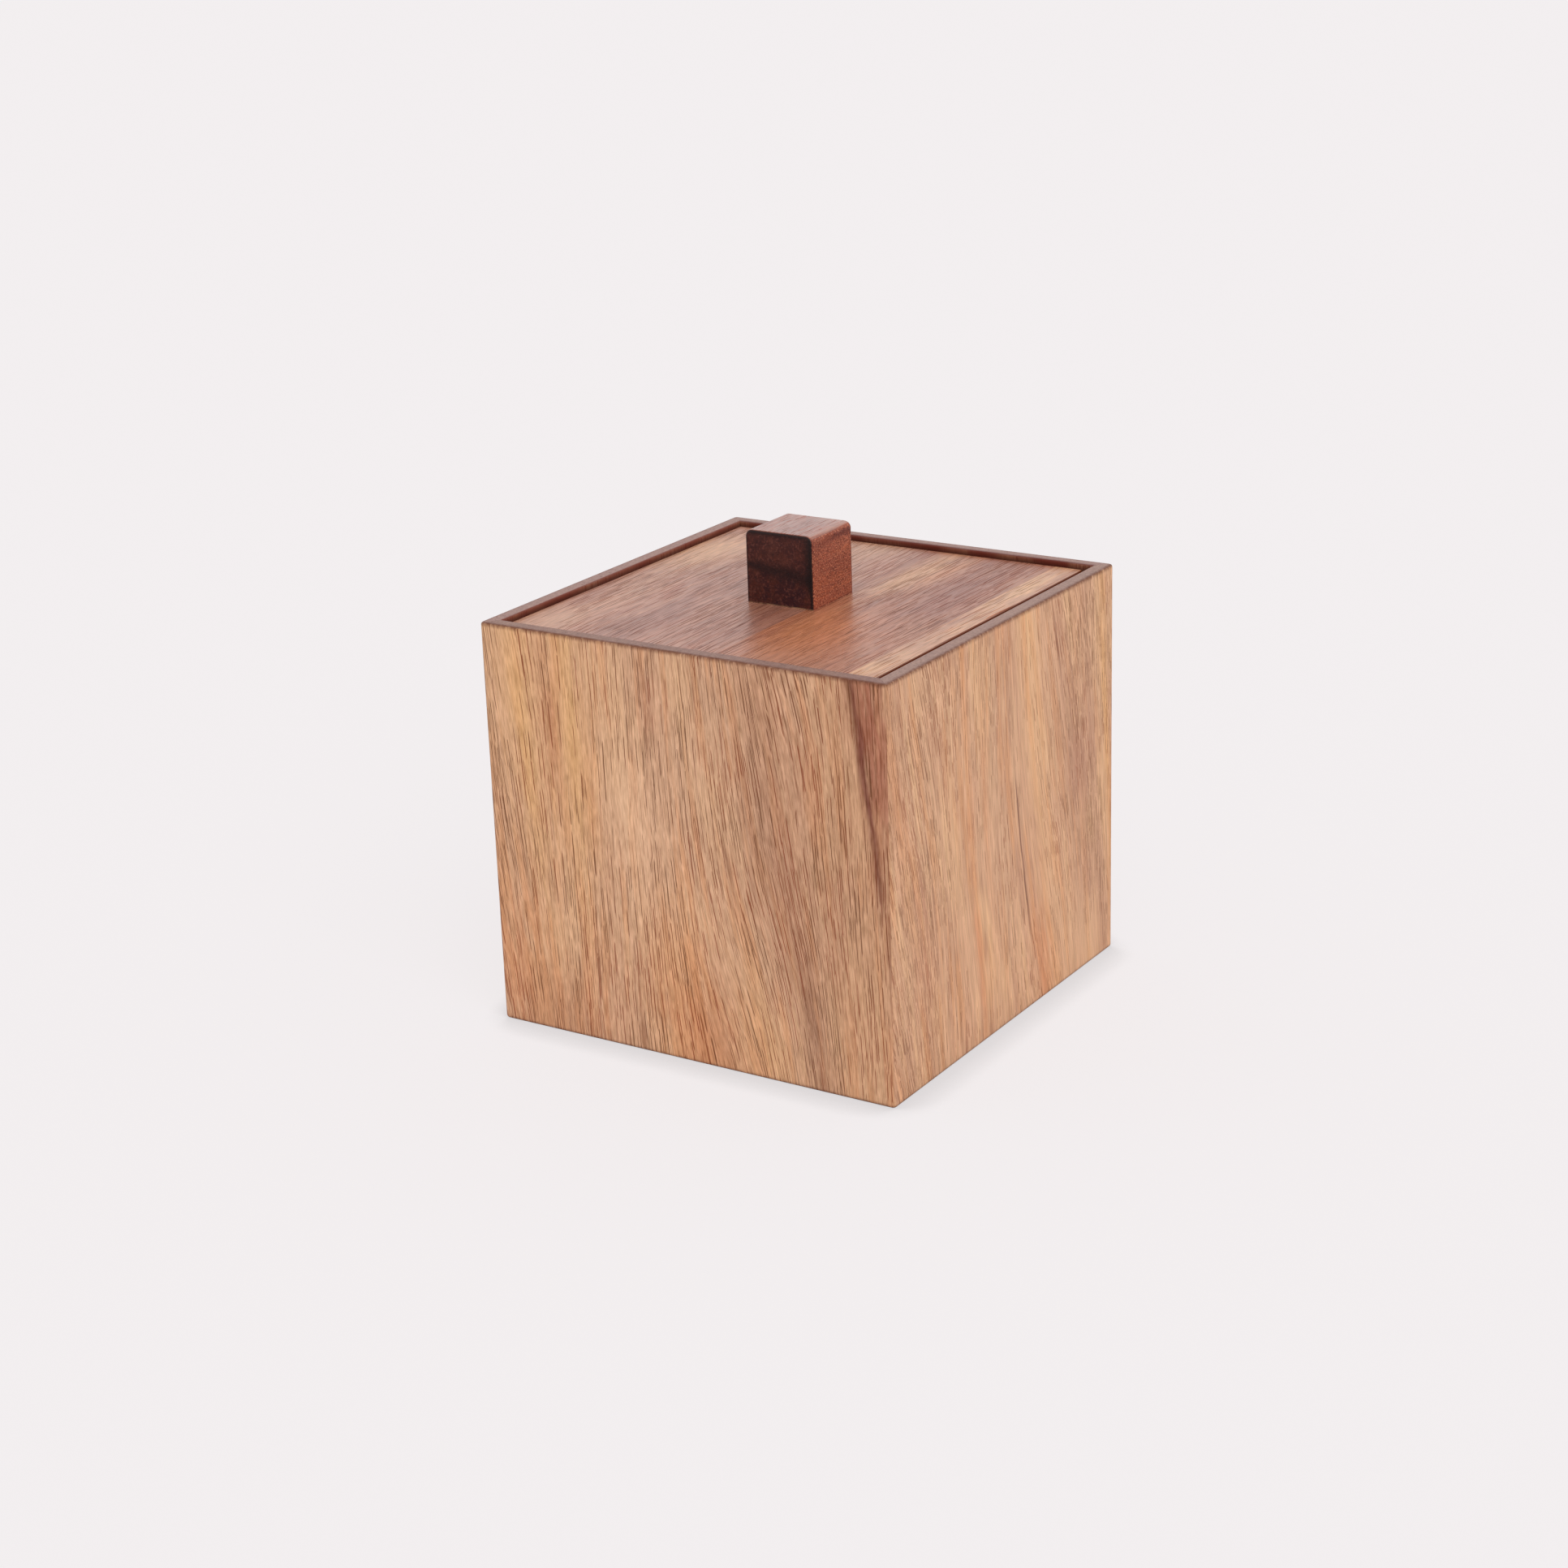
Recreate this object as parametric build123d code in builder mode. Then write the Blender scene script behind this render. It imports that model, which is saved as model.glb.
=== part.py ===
from build123d import *
import os

# Square wooden canister with a lift-off lid.
# Four mitred walls stand on end grain. A bottom panel is let into their lower rebate and the lid drops into
# their upper rebate. Lid and bottom are each glued up from three staves, and a square knob is dowelled on.
#
# Millimetres. The origin is the centre of the underside, +Z is up, the front is -Y and the right is +X.

# Box
BOX_WIDTH = 100.0          # outside, left to right
BOX_DEPTH = 100.0          # outside, front to back
BOX_HEIGHT = 91.4          # underside to rim
WALL = 7.0                 # thickness of a wall board
RIM_LIP = 3.5              # what the upper rebate leaves of a wall, round the lid
FOOT_LIP = 3.0             # what the lower rebate leaves of a wall, round the bottom
CORNER_ROUND = 1.0         # upright outer corners
RIM_OUTER_ROUND = 0.6      # outer arris of the rim
RIM_INNER_ROUND = 0.4      # inner arris of the rim
FOOT_ROUND = 0.8           # outer arris at the table

# Bottom panel
BOTTOM_THICKNESS = 6.0
BOTTOM_GAP = 0.3           # room for the panel to swell, on each side of it
BOTTOM_LEFT_STAVE = 27.0
BOTTOM_RIGHT_STAVE = 36.0

# Lid
LID_THICKNESS = 6.0
LID_RECESS = 1.1           # the lid's top lies this far below the rim
LID_END_GAP = 0.4          # front and back, at the ends of its grain
LID_LEFT_GAP = 0.4         # the lid lies near the left of its recess
LID_RIGHT_GAP = 2.3        # across the grain, where the lid swells and shrinks
LID_EDGE_ROUND = 0.35
LID_GLUE_OFFSET = 6.75     # first glue line, to the right of the lid's centre
LID_NARROW_STAVE = 6.5     # at the right edge

# Knob
KNOB_WIDTH = 16.8          # left to right
KNOB_DEPTH = 16.8          # front to back
KNOB_HEIGHT = 16.2
KNOB_OFFSET = 0.3          # to the right of the lid's centre
KNOB_TOP_ROUND = 1.6       # left, right and back edges of the top
KNOB_BACK_ROUND = 1.0      # upright back corners
KNOB_FACE_ROUND = 0.5      # round the front face

# Dowel that pins the knob to the lid
DOWEL_RADIUS = 3.0
DOWEL_IN_KNOB = 9.0
DOWEL_SKIN = 1.7           # wood that its blind hole leaves at the lid's underside
DOWEL_GLUE_GAP = 0.05      # round the dowel
DOWEL_END_GAP = 0.3        # at the end of each blind hole
DOWEL_CHAMFER = 0.5

# Worked out from the sizes above
ROOM_WIDTH = BOX_WIDTH - 2 * WALL
ROOM_DEPTH = BOX_DEPTH - 2 * WALL
HOUSING_WIDTH = BOX_WIDTH - 2 * FOOT_LIP
HOUSING_DEPTH = BOX_DEPTH - 2 * FOOT_LIP
RECESS_WIDTH = BOX_WIDTH - 2 * RIM_LIP
RECESS_DEPTH = BOX_DEPTH - 2 * RIM_LIP

BOTTOM_WIDTH = HOUSING_WIDTH - 2 * BOTTOM_GAP
BOTTOM_DEPTH = HOUSING_DEPTH - 2 * BOTTOM_GAP

LID_TOP = BOX_HEIGHT - LID_RECESS
LEDGE_HEIGHT = LID_TOP - LID_THICKNESS
LID_WIDTH = RECESS_WIDTH - LID_LEFT_GAP - LID_RIGHT_GAP
LID_DEPTH = RECESS_DEPTH - 2 * LID_END_GAP
LID_CENTRE = (LID_LEFT_GAP - LID_RIGHT_GAP) / 2

HOLE_RADIUS = DOWEL_RADIUS + DOWEL_GLUE_GAP
HOLE_IN_LID = LID_THICKNESS - DOWEL_SKIN
HOLE_IN_KNOB = DOWEL_IN_KNOB + DOWEL_END_GAP
DOWEL_IN_LID = HOLE_IN_LID - DOWEL_END_GAP

LID_SEAT = Plane((LID_CENTRE, 0, LEDGE_HEIGHT))
KNOB_SEAT = Plane((LID_CENTRE + KNOB_OFFSET, 0, LID_TOP))

os.makedirs("parts", exist_ok=True)


def keep(piece, name):
    """Labels a finished piece and writes its file."""
    piece.label = name
    export_step(piece, f"parts/{name}.step")


def block(plane, width, depth, height, mode=Mode.ADD):
    """A square-cornered block that stands on the middle of a plane, or a hole of that shape."""
    with BuildSketch(plane) as outline:
        Rectangle(width, depth)
    extrude(outline.sketch, amount=height, mode=mode)


def dowel_hole(height):
    """The blind hole for the knob's dowel, from the lid's top up into the knob or down into the lid."""
    with BuildSketch(KNOB_SEAT) as mouth:
        Circle(HOLE_RADIUS)
    extrude(mouth.sketch, amount=height, mode=Mode.SUBTRACT)


def box_ring():
    """All four walls in one, open at the top and bottom, with the ledges for the lid and the panel."""
    with BuildSketch(Plane.XY) as footprint:
        RectangleRounded(BOX_WIDTH, BOX_DEPTH, CORNER_ROUND)
    extrude(footprint.sketch, amount=BOX_HEIGHT)
    fillet(faces().sort_by(Axis.Z)[-1].edges(), RIM_OUTER_ROUND)
    fillet(faces().sort_by(Axis.Z)[0].edges(), FOOT_ROUND)
    block(Plane.XY, ROOM_WIDTH, ROOM_DEPTH, BOX_HEIGHT, Mode.SUBTRACT)
    block(Plane.XY, HOUSING_WIDTH, HOUSING_DEPTH, BOTTOM_THICKNESS, Mode.SUBTRACT)
    block(Plane.XY.offset(LEDGE_HEIGHT), RECESS_WIDTH, RECESS_DEPTH, BOX_HEIGHT, Mode.SUBTRACT)
    rim = faces().sort_by(Axis.Z)[-1]
    fillet(rim.inner_wires()[0].edges(), RIM_INNER_ROUND)


def mitre(outward, along):
    """Cuts the ring at the mitre where the wall facing outward meets its neighbour facing along."""
    corner = Vector((outward.X + along.X) * BOX_WIDTH / 2, (outward.Y + along.Y) * BOX_DEPTH / 2)
    split(bisect_by=Plane(corner, z_dir=outward - along), keep=Keep.TOP)


def cut_stave(place, glue_lines):
    """Keeps one stave of a panel: the one at this place, counted from the left."""
    if place > 0:
        split(bisect_by=Plane.YZ.offset(glue_lines[place - 1]), keep=Keep.TOP)
    if place < len(glue_lines):
        split(bisect_by=Plane.YZ.offset(glue_lines[place]), keep=Keep.BOTTOM)


# Walls, one for each quarter turn from +X
for turn, name in enumerate(["right_wall", "back_wall", "left_wall", "front_wall"]):
    outward = Vector(1, 0, 0).rotate(Axis.Z, 90 * turn)
    along = outward.rotate(Axis.Z, 90)
    with BuildPart() as wall:
        box_ring()
        mitre(outward, along)
        mitre(outward, -along)
    keep(wall.part, name)

# Bottom, flush with the feet of the walls
bottom_glue_lines = [BOTTOM_LEFT_STAVE - BOTTOM_WIDTH / 2, BOTTOM_WIDTH / 2 - BOTTOM_RIGHT_STAVE]
for place, name in enumerate(["bottom_left_stave", "bottom_middle_stave", "bottom_right_stave"]):
    with BuildPart() as bottom_stave:
        block(Plane.XY, BOTTOM_WIDTH, BOTTOM_DEPTH, BOTTOM_THICKNESS)
        cut_stave(place, bottom_glue_lines)
    keep(bottom_stave.part, name)

# Lid
lid_glue_lines = [LID_CENTRE + LID_GLUE_OFFSET, LID_CENTRE + LID_WIDTH / 2 - LID_NARROW_STAVE]
for place, name in enumerate(["lid_wide_stave", "lid_middle_stave", "lid_narrow_stave"]):
    with BuildPart() as lid_stave:
        block(LID_SEAT, LID_WIDTH, LID_DEPTH, LID_THICKNESS)
        fillet(lid_stave.edges(), LID_EDGE_ROUND)
        dowel_hole(-HOLE_IN_LID)
        cut_stave(place, lid_glue_lines)
    keep(lid_stave.part, name)

# Knob
with BuildPart() as knob:
    block(KNOB_SEAT, KNOB_WIDTH, KNOB_DEPTH, KNOB_HEIGHT)
    front_edge, *soft_edges = knob.faces().sort_by(Axis.Z)[-1].edges().sort_by(Axis.Y)
    fillet(soft_edges, KNOB_TOP_ROUND)
    fillet(knob.edges().filter_by(Axis.Z).group_by(Axis.Y)[-1], KNOB_BACK_ROUND)
    bottom_edge, *free_edges = knob.faces().sort_by(Axis.Y)[0].edges().sort_by(Axis.Z)
    fillet(free_edges, KNOB_FACE_ROUND)
    dowel_hole(HOLE_IN_KNOB)
keep(knob.part, "knob")

# Dowel
with BuildPart() as knob_dowel:
    with BuildSketch(KNOB_SEAT.offset(-DOWEL_IN_LID)):
        Circle(DOWEL_RADIUS)
    extrude(amount=DOWEL_IN_LID + DOWEL_IN_KNOB)
    chamfer(knob_dowel.edges().filter_by(GeomType.CIRCLE), DOWEL_CHAMFER)
keep(knob_dowel.part, "knob_dowel")
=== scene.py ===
import math

import bpy
from mathutils import Euler, Matrix, Vector

# A square acacia canister with a lift-off lid. Every shape is the frame's own, so this script gives each board its
# wood and sets up the floor, the light and the camera.

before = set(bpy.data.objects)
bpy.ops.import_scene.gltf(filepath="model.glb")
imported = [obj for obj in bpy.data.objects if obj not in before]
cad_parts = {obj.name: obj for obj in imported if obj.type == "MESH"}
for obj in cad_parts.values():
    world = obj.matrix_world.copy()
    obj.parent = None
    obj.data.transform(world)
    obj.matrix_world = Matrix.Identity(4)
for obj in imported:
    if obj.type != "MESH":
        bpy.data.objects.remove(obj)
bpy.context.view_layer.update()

# ---------------------------------------------------------------- sizes, in millimetres
# Materials work in millimetres on a board's own axes: X across its face, Y into its thickness, Z along its grain.
MM = 1000.0
BOX_HALF = 50.0
BOX_HEIGHT = 91.4
RECESS_HALF = 46.5
LID_TOP = 90.3
LID_THICKNESS = 6.0
LID_LEFT, LID_RIGHT = -46.1, 44.2
LID_HALF_DEPTH = 46.1
LID_MIDDLE = (LID_LEFT + LID_RIGHT) / 2
KNOB_CENTRE = -0.65
KNOB_HALF = 8.4
KNOB_TOP = 106.5
KNOB_HEIGHT = KNOB_TOP - LID_TOP
KNOB_MIDDLE = LID_TOP + KNOB_HEIGHT / 2
KNOB_RIGHT = KNOB_CENTRE + KNOB_HALF
QUARTER = math.radians(90)


# ---------------------------------------------------------------- building shader nodes
def join(tree, value, socket):
    """Links a socket to another node's output, or gives it a plain value."""
    if isinstance(value, bpy.types.NodeSocket):
        tree.links.new(value, socket)
    else:
        socket.default_value = value


def add_node(tree, kind, inputs=(), **options):
    """Adds a shader node, sets its options and fills its inputs by name or by number."""
    node = tree.nodes.new("ShaderNode" + kind)
    for option, value in options.items():
        setattr(node, option, value)
    for key, value in dict(inputs).items():
        join(tree, value, node.inputs[key])
    return node


def calc(tree, operation, *values):
    """A sum on numbers."""
    return add_node(tree, "Math", enumerate(values), operation=operation).outputs[0]


def calc_vector(tree, operation, *values):
    """A sum on vectors."""
    return add_node(tree, "VectorMath", enumerate(values), operation=operation).outputs["Vector"]


def combine(tree, x=0.0, y=0.0, z=0.0):
    """A vector made of its X, Y and Z."""
    return add_node(tree, "CombineXYZ", {"X": x, "Y": y, "Z": z}).outputs[0]


def split_vector(tree, vector):
    """A vector's X, Y and Z."""
    return add_node(tree, "SeparateXYZ", {"Vector": vector}).outputs


def alignment(tree, first, second):
    """How far two directions agree, whichever way each points: 1 for parallel, 0 for square to each other."""
    product = add_node(tree, "VectorMath", {0: first, 1: second}, operation="DOT_PRODUCT").outputs["Value"]
    return calc(tree, "ABSOLUTE", product)


def fade(tree, value, start, end, low=0.0, high=1.0):
    """Goes softly from low to high as the value goes from start to end."""
    inputs = {0: value, 1: start, 2: end, 3: low, 4: high}
    return add_node(tree, "MapRange", inputs, interpolation_type="SMOOTHSTEP").outputs[0]


def overlap(tree, mask, *others):
    """Several masks or strengths multiplied together."""
    for other in others:
        mask = calc(tree, "MULTIPLY", mask, other)
    return mask


def largest(tree, mask, *others):
    """The largest of several masks."""
    for other in others:
        mask = calc(tree, "MAXIMUM", mask, other)
    return mask


def offset(tree, value, middle, reach):
    """How far a value is from a middle, counted in reaches."""
    return calc(tree, "DIVIDE", calc(tree, "SUBTRACT", value, middle), reach)


def bell(tree, across, along=None):
    """1 in the middle of a patch, and nearly nothing two reaches away from it."""
    if along is None:
        far = calc(tree, "MULTIPLY", across, across)
    else:
        far = calc(tree, "MULTIPLY_ADD", across, across, calc(tree, "MULTIPLY", along, along))
    return calc(tree, "EXPONENT", calc(tree, "MULTIPLY", far, -1.0))


def between(tree, share, low, high):
    """A value that goes evenly from low to high as the share goes from 0 to 1."""
    return calc(tree, "MULTIPLY_ADD", share, high - low, low)


def vary(tree, noise, amount, middle=1.0):
    """Noise as a value that strays from a middle by up to half the amount."""
    return calc(tree, "MULTIPLY_ADD", calc(tree, "SUBTRACT", noise, 0.5), amount, middle)


# A Mix node has three sockets of each name, for numbers, vectors and colours, so its colours go by number.
MIX_MASK, MIX_UNDER, MIX_OVER, MIX_RESULT = 0, 6, 7, 2


def paint(tree, mask, under, over):
    """Lays one colour over another where the mask is 1."""
    inputs = {MIX_MASK: mask, MIX_UNDER: under, MIX_OVER: over}
    return add_node(tree, "Mix", inputs, data_type="RGBA").outputs[MIX_RESULT]


def stretch(tree, place, across, along, seed):
    """Squeezes a board's axes so that one unit is that many millimetres across and along the grain."""
    shift = seed if isinstance(seed, bpy.types.NodeSocket) else (seed, seed, seed)
    unit = combine(tree, across, across, along)
    return calc_vector(tree, "ADD", calc_vector(tree, "DIVIDE", place, unit), shift)


def cloud(tree, place, across, along, seed, reseed=0.0, detail=2.0, roughness=0.5, output="Fac"):
    """Noise whose lumps are that many millimetres across and along the grain."""
    if reseed:
        seed = calc(tree, "ADD", seed, reseed)
    inputs = {"Vector": stretch(tree, place, across, along, seed), "Scale": 1.0, "Detail": detail,
              "Roughness": roughness}
    return add_node(tree, "TexNoise", inputs, noise_dimensions="3D").outputs[output]


# By how many numbers a socket holds.
SOCKET_KINDS = {1: "NodeSocketFloat", 3: "NodeSocketVector", 4: "NodeSocketColor"}


def start_group(name, inputs, outputs):
    """A new shader node group. Returns its tree, what it is given and what it puts out."""
    tree = bpy.data.node_groups.new(name, "ShaderNodeTree")
    for direction, sockets in (("INPUT", inputs), ("OUTPUT", outputs)):
        for socket_name, default in sockets.items():
            kind = SOCKET_KINDS[1 if isinstance(default, float) else len(default)]
            socket = tree.interface.new_socket(socket_name, in_out=direction, socket_type=kind)
            socket.default_value = default
    given = tree.nodes.new("NodeGroupInput").outputs
    out = tree.nodes.new("NodeGroupOutput").inputs
    return tree, given, out


def use(tree, group, inputs):
    """Places a node group in a tree and returns its outputs."""
    node = tree.nodes.new("ShaderNodeGroup")
    node.node_tree = bpy.data.node_groups[group]
    for key, value in inputs.items():
        join(tree, value, node.inputs[key])
    return node.outputs


def start_material(name):
    """A new material. Returns it, its node tree and its shader."""
    material = bpy.data.materials.new(name)
    material.use_nodes = True
    return material, material.node_tree, material.node_tree.nodes["Principled BSDF"]


def rgb(*levels):
    """A solid colour as it looks on a screen, from 0 to 255, in the linear values that Blender takes."""
    return (*(v / 255 / 12.92 if v <= 10 else ((v / 255 + 0.055) / 1.055) ** 2.4 for v in levels), 1)


# ---------------------------------------------------------------- shared wood effects
WOOD_COLOUR = (0.5, 0.25, 0.13, 1)
DARK_COLOUR = (0.2, 0.08, 0.05, 1)
LINE_COUNT = 9.0  # long dark lines as the slow noise goes from 0 to 1
LINE_WIDTH = 0.15  # as a share of the way from one to the next
FIBRE_WIDTH = 0.32
FIBRE_HEIGHT = 0.022
PORE_DEPTH = 0.06


def make_grain_flow():
    """Leans a board's axes and lets them wander, so that all its grain follows."""
    tree, given, out = start_group(
        "grain_flow", {"Place": (0, 0, 0), "Lean": 0.0, "Wander": 2.0, "Ripple": 0.5, "Seed": 0.0},
        {"Flow": (0, 0, 0)})
    drift = cloud(tree, given["Place"], across=34.0, along=60.0, seed=given["Seed"], detail=1.0, output="Color")
    ripple = cloud(tree, given["Place"], across=4.0, along=11.0, seed=given["Seed"], detail=1.0, output="Color")
    drift = calc_vector(tree, "SUBTRACT", drift, (0.5, 0.5, 0.5))
    ripple = calc_vector(tree, "SUBTRACT", ripple, (0.5, 0.5, 0.5))
    ripple = calc_vector(tree, "MULTIPLY", ripple, combine(tree, given["Ripple"], given["Ripple"]))
    moved = calc_vector(tree, "MULTIPLY_ADD", drift, combine(tree, given["Wander"], given["Wander"]), given["Place"])
    moved = calc_vector(tree, "ADD", moved, ripple)
    z = split_vector(tree, given["Place"])["Z"]
    leaned = combine(tree, calc(tree, "MULTIPLY", z, given["Lean"]))
    join(tree, calc_vector(tree, "ADD", moved, leaned), out["Flow"])


def make_grain_slope():
    """Leans the grain more in one upright zone of a board, most of all in the middle of the zone."""
    tree, given, out = start_group(
        "grain_slope",
        {"Flow": (0, 0, 0), "Place": (0, 0, 0), "Across": 0.0, "Along": 45.0, "Width": 15.0, "Lean": 0.1},
        {"Flow": (0, 0, 0)})
    x, _, z = split_vector(tree, given["Place"])
    near = bell(tree, offset(tree, x, given["Across"], given["Width"]))
    push = overlap(tree, near, given["Lean"], calc(tree, "SUBTRACT", z, given["Along"]))
    join(tree, calc_vector(tree, "ADD", given["Flow"], combine(tree, push)), out["Flow"])


def make_grain_bend():
    """Pushes the grain sideways round one place, as it goes round a knot."""
    tree, given, out = start_group(
        "grain_bend",
        {"Flow": (0, 0, 0), "Place": (0, 0, 0), "Across": 0.0, "Along": 0.0, "Width": 10.0, "Length": 20.0,
         "Push": 1.0},
        {"Flow": (0, 0, 0)})
    x, _, z = split_vector(tree, given["Place"])
    near = bell(tree, offset(tree, x, given["Across"], given["Width"]),
                offset(tree, z, given["Along"], given["Length"]))
    push = overlap(tree, near, given["Push"])
    join(tree, calc_vector(tree, "ADD", given["Flow"], combine(tree, push)), out["Flow"])


def make_pores():
    """Open pores: thin dashes along the grain, and dots where the wood is cut across it."""
    tree, given, out = start_group(
        "pores",
        {"Flow": (0, 0, 0), "End": 0.0, "Spacing": 0.8, "Width": 0.3, "Length": 9.0, "Density": 0.6,
         "Squash": 0.2, "Seed": 0.0},
        {"Pores": 0.0})
    # Into the board's thickness the pores run deep, except where their ends show.
    flat = combine(tree, 1.0, fade(tree, given["End"], 0.0, 1.0, low=given["Squash"]), 1.0)
    cells = stretch(tree, given["Flow"], given["Spacing"], given["Length"], given["Seed"])
    cells = calc_vector(tree, "MULTIPLY", cells, flat)
    nearest = add_node(tree, "TexVoronoi", {"Vector": cells, "Scale": 1.0}, voronoi_dimensions="3D", feature="F1")
    off = calc_vector(tree, "SUBTRACT", cells, nearest.outputs["Position"])
    x, y, z = split_vector(tree, calc_vector(tree, "MULTIPLY", off, flat))
    sideways = calc(tree, "SQRT", calc(tree, "MULTIPLY_ADD", x, x, calc(tree, "MULTIPLY", y, y)))
    sideways = calc(tree, "MULTIPLY", sideways, given["Spacing"])
    # Each pore has its own width and length, and some are left out.
    keep_chance, width_chance, length_chance = split_vector(tree, nearest.outputs["Color"])
    width = calc(tree, "MULTIPLY", given["Width"], between(tree, width_chance, 0.75, 1.25))
    body = fade(tree, sideways, calc(tree, "MULTIPLY", width, 0.68), calc(tree, "MULTIPLY", width, 0.32))
    reach = between(tree, length_chance, 0.2, 0.55)
    tip = fade(tree, calc(tree, "SUBTRACT", calc(tree, "ABSOLUTE", z), reach), 0.06, -0.06)
    sparse = calc(tree, "SUBTRACT", 1.0, given["Density"])
    kept = fade(tree, keep_chance, sparse, calc(tree, "ADD", sparse, 0.3))
    join(tree, overlap(tree, body, tip, kept), out["Pores"])


def make_wood_tone():
    """A board's colour: wide drifting zones, growth bands and a few long dark lines."""
    tree, given, out = start_group(
        "wood_tone",
        {"Flow": (0, 0, 0), "Pale": (0.6, 0.3, 0.15, 1), "Middle": WOOD_COLOUR, "Deep": (0.35, 0.14, 0.07, 1),
         "Warm": (0.6, 0.25, 0.1, 1), "Line": DARK_COLOUR, "Zone": 22.0, "Zones": 0.6, "Band": 2.4, "Bands": 0.5,
         "Warm Bands": 0.3, "Lines": 0.5, "Seed": 0.0},
        {"Color": WOOD_COLOUR})

    def noise(across, along, reseed=0.0, detail=1.0, roughness=0.5):
        """Noise that follows the grain."""
        return cloud(tree, given["Flow"], across, along, given["Seed"], reseed, detail, roughness)

    zone = noise(given["Zone"], calc(tree, "MULTIPLY", given["Zone"], 3.2), detail=2.0)
    pale = overlap(tree, fade(tree, zone, 0.5, 0.32), given["Zones"])
    deep = overlap(tree, fade(tree, zone, 0.5, 0.68), given["Zones"])
    colour = paint(tree, pale, given["Middle"], given["Pale"])
    colour = paint(tree, deep, colour, given["Deep"])

    length = calc(tree, "MULTIPLY", given["Band"], 26.0)
    band = noise(given["Band"], length, reseed=7.3, detail=3.0, roughness=0.6)
    dark = overlap(tree, fade(tree, band, 0.5, 0.76), given["Bands"])
    light = overlap(tree, fade(tree, band, 0.5, 0.27), given["Bands"])
    colour = paint(tree, dark, colour, paint(tree, 0.72, colour, given["Deep"]))
    colour = paint(tree, light, colour, paint(tree, 0.6, colour, given["Pale"]))
    warm = noise(calc(tree, "MULTIPLY", given["Band"], 1.7), length, reseed=11.9, detail=2.0)
    warm = overlap(tree, fade(tree, warm, 0.5, 0.68), given["Warm Bands"])
    colour = paint(tree, warm, colour, given["Warm"])
    thin = noise(calc(tree, "MULTIPLY", given["Band"], 0.3), calc(tree, "MULTIPLY", length, 0.4), reseed=1.9,
                 detail=1.5)
    colour = calc_vector(tree, "MULTIPLY", colour, vary(tree, thin, 0.45))

    # The long lines are the contours of slow noise, broken here and there.
    contours = calc(tree, "FRACT", calc(tree, "MULTIPLY", noise(9.0, 400.0, reseed=3.1), LINE_COUNT))
    line = fade(tree, calc(tree, "ABSOLUTE", calc(tree, "SUBTRACT", contours, 0.5)), LINE_WIDTH / 2, 0.0)
    line = overlap(tree, line, fade(tree, noise(7.0, 26.0, reseed=5.7), 0.46, 0.62), given["Lines"])
    join(tree, paint(tree, line, colour, given["Line"]), out["Color"])


def make_streak():
    """One placed streak or patch, with edges that fray along the grain."""
    tree, given, out = start_group(
        "streak",
        {"Flow": (0, 0, 0), "Across": 0.0, "Along": 0.0, "Width": 3.0, "Length": 30.0, "Fray": 0.5, "Slant": 0.0},
        {"Mask": 0.0})
    x, _, z = split_vector(tree, given["Flow"])
    fray = cloud(tree, given["Flow"], across=1.6, along=9.0, seed=given["Across"])
    sway = calc(tree, "MULTIPLY", calc(tree, "SUBTRACT", fray, 0.5), calc(tree, "MULTIPLY", given["Fray"], 4.0))
    up = calc(tree, "SUBTRACT", z, given["Along"])
    off = calc(tree, "MULTIPLY_ADD", up, given["Slant"], calc(tree, "SUBTRACT", x, given["Across"]))
    across = calc(tree, "ADD", calc(tree, "DIVIDE", off, given["Width"]), sway)
    along = calc(tree, "ADD", calc(tree, "DIVIDE", up, given["Length"]), sway)
    join(tree, bell(tree, across, along), out["Mask"])


def make_arris():
    """Where a square block's edges are: 1 on an edge and 0 a reach away from it."""
    tree, given, out = start_group(
        "arris",
        {"Place": (0, 0, 0), "Middle": (0, 0, 0), "Half": (50, 50, 50), "Reach": 1.0, "Upright": 1.0},
        {"Edge": 0.0})
    off = calc_vector(tree, "ABSOLUTE", calc_vector(tree, "SUBTRACT", given["Place"], given["Middle"]))
    off = calc_vector(tree, "ABSOLUTE", calc_vector(tree, "SUBTRACT", given["Half"], off))
    x, y, z = split_vector(tree, off)
    level = fade(tree, calc(tree, "MAXIMUM", calc(tree, "MINIMUM", x, y), z), given["Reach"], 0.0)
    upright = fade(tree, calc(tree, "MAXIMUM", x, y), given["Reach"], 0.0)
    join(tree, largest(tree, level, overlap(tree, upright, given["Upright"])), out["Edge"])


def make_end_grain():
    """Where a face is cut across the grain."""
    tree, given, out = start_group("end_grain", {"Normal": (0, 0, 1), "Grain": (0, 0, 1)}, {"End": 0.0})
    join(tree, fade(tree, alignment(tree, given["Normal"], given["Grain"]), 0.45, 0.9), out["End"])


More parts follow.
